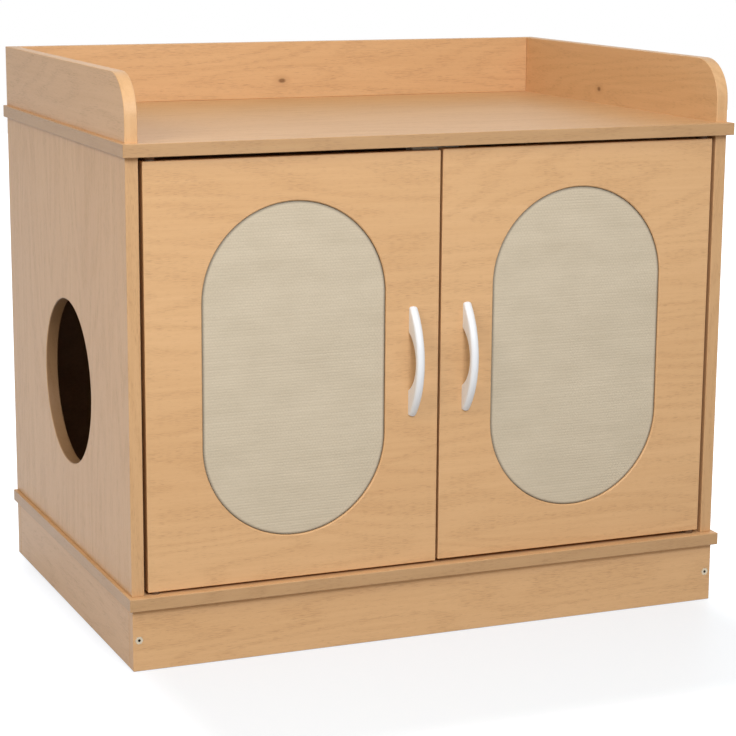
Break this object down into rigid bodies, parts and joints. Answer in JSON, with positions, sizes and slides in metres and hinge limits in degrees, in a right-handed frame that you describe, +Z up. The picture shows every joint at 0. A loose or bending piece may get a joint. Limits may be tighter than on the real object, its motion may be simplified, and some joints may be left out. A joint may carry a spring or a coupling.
{
  "type": "cat litter box cabinet",
  "caption": "Free-standing cupboard that hides a cat litter box: inset double doors with scratch pads, round side entry, gallery top and hollow plinth.",
  "frame": {"origin": "on the floor, at the middle of the whole outline, handles included", "axes": "+X to the right of someone facing the doors, +Y from the doors to the back, +Z up"},
  "size_m": [0.778, 0.558, 0.685],
  "materials": {
    "oak_melamine": "melamine-faced particle board, pale oak print, satin",
    "hardboard": "3 mm hardboard, smooth brown face",
    "raw_fibreboard": "plain fibreboard under the cloth",
    "beech": "fluted beech dowel",
    "sisal_cloth": "coarse woven sisal cloth, drawn tight",
    "white_lacquer": "white, semi-gloss",
    "plated_steel": "zinc plated",
    "zinc_casting": "die-cast zinc, dull",
    "nylon": "brown nylon, close to the boards' colour in the gap",
    "white_moulding": "moulded, matt",
    "magnet_ceramic": "ceramic magnet, dark grey"
  },
  "bodies": {
    "carcass": {"left_side_panel": "oak_melamine", "right_side_panel": "oak_melamine", "bottom_panel": "oak_melamine", "top_panel": "oak_melamine", "back_panel": "hardboard", "left_gallery_rail": "oak_melamine", "right_gallery_rail": "oak_melamine", "rear_gallery_rail": "oak_melamine", "plinth_front_board": "oak_melamine", "plinth_rear_board": "oak_melamine", "plinth_left_board": "oak_melamine", "plinth_right_board": "oak_melamine", "side_cam_locks": "zinc_casting", "side_cam_bolts": "plated_steel", "side_dowels": "beech", "gallery_dowels": "beech", "plinth_dowels": "beech", "gallery_screws": "plated_steel", "plinth_screws": "plated_steel", "catch_housing": "white_moulding", "catch_magnets": "magnet_ceramic", "catch_screws": "plated_steel", "door_pivot_pins": "plated_steel"},
    "left_door": {"left_door_panel": "oak_melamine", "left_pad_cloth": "sisal_cloth", "left_pad_core": "raw_fibreboard", "left_pad_backing": "hardboard", "left_backing_screws": "plated_steel", "left_handle": "white_lacquer", "left_handle_screws": "plated_steel", "left_pivot_bushes": "nylon", "left_strike_plate": "plated_steel", "left_strike_screw": "plated_steel"},
    "right_door": {"right_door_panel": "oak_melamine", "right_pad_cloth": "sisal_cloth", "right_pad_core": "raw_fibreboard", "right_pad_backing": "hardboard", "right_backing_screws": "plated_steel", "right_handle": "white_lacquer", "right_handle_screws": "plated_steel", "right_pivot_bushes": "nylon", "right_strike_plate": "plated_steel", "right_strike_screw": "plated_steel"}
  },
  "joints": [
    {"name": "left_door_hinge", "type": "hinge", "parent": "carcass", "child": "left_door", "pos_m": [-0.3542, -0.2435, 0.3403], "axis": [0, 0, -1], "range_deg": [0, 110]},
    {"name": "right_door_hinge", "type": "hinge", "parent": "carcass", "child": "right_door", "pos_m": [0.3542, -0.2435, 0.3415], "axis": [0, 0, 1], "range_deg": [0, 110]}
  ]
}
